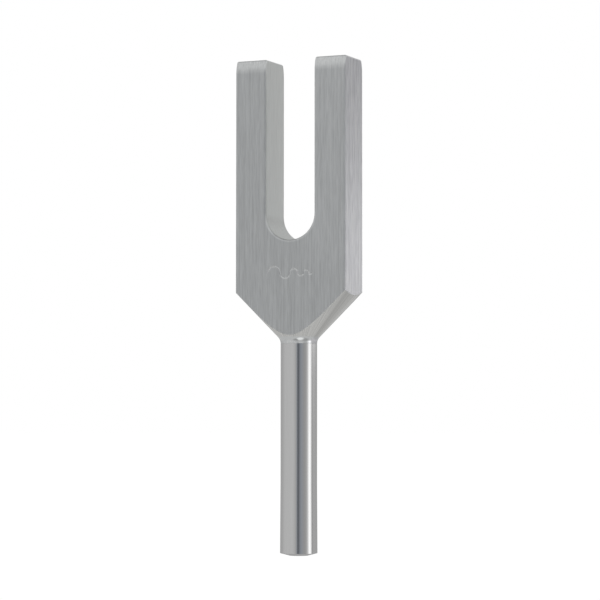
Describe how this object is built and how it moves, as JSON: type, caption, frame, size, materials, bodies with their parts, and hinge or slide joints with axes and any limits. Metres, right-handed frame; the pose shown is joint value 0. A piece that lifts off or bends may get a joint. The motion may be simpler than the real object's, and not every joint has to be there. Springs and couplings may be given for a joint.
{
  "type": "tuning fork",
  "caption": "Square-tined tuning fork milled from flat metal bar, with a deep round-bottomed slot, a turned conical shoulder and a plain round stem screwed into its base.",
  "frame": {"origin": "centre of the stem's flat foot", "axes": "+Z from the foot to the tips of the tines, X across the two tines, Y through the bar's thickness with the engraved mark on the -Y face"},
  "size_m": [0.0254, 0.0096, 0.105],
  "materials": {
    "satin_bar": "lengthwise brushed satin with softened edges",
    "bright_stem": "bright drawn and polished rod"
  },
  "bodies": {
    "root": {"fork_body": "satin_bar", "stem": "bright_stem"}
  },
  "joints": []
}
